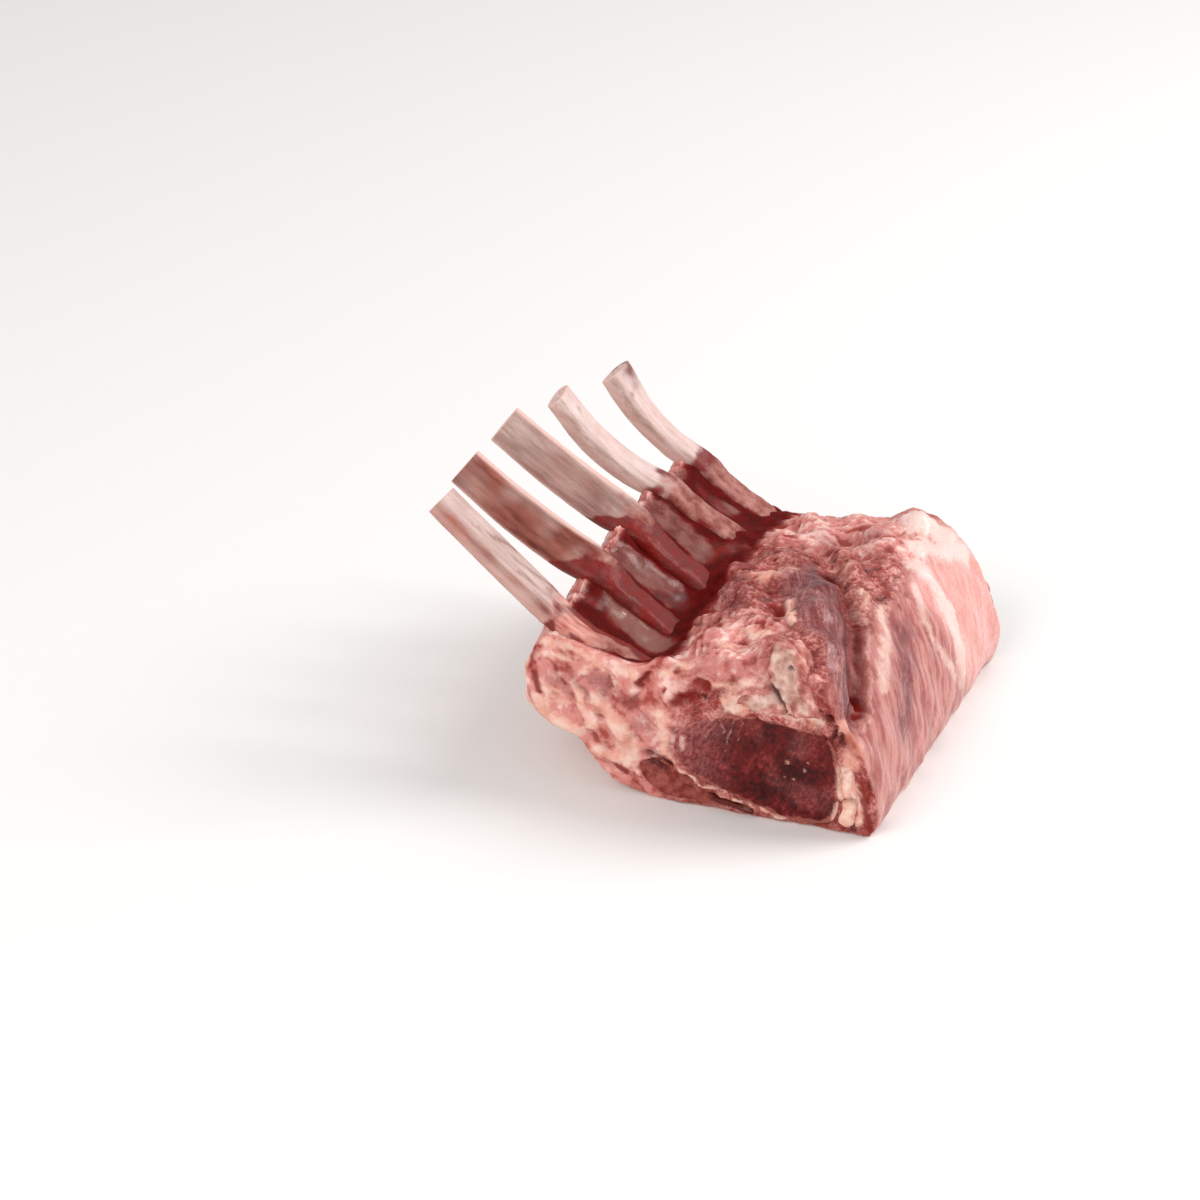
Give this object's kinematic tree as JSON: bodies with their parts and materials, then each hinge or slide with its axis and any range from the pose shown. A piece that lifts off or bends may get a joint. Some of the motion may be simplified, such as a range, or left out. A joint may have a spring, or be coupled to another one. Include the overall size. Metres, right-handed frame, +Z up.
{
  "type": "lamb short rack",
  "caption": "Raw lamb short rack: a block of shoulder meat resting on its fat side, with frenched rib bones rising from one edge and the dark loin eye showing at both cuts.",
  "frame": {"origin": "middle of the rectangle that the whole rack covers, on the table it rests on", "axes": "+Y along the row of ribs from the front cut to the back cut, the bare bone ends rise towards -X, the sawn side faces +X, +Z up"},
  "size_m": [0.1376, 0.119, 0.0839],
  "materials": {
    "lean_and_fat": "moist raw meat, pink-red lean with salmon fat",
    "dark_lean": "moist dark red lean, cut across the grain",
    "under_lean": "moist red lean",
    "sinew_fat": "cream fat, satin",
    "gristle": "cream gristle, satin",
    "bone": "scraped raw bone, grey-beige with pink stains"
  },
  "bodies": {
    "root": {"meat_block": "lean_and_fat", "loin_eye": "dark_lean", "under_muscle": "under_lean", "back_sinew": "sinew_fat", "ridge_lump": "gristle", "rib_1": "bone", "rib_2": "bone", "rib_3": "bone", "rib_4": "bone", "rib_5": "bone"}
  },
  "joints": []
}
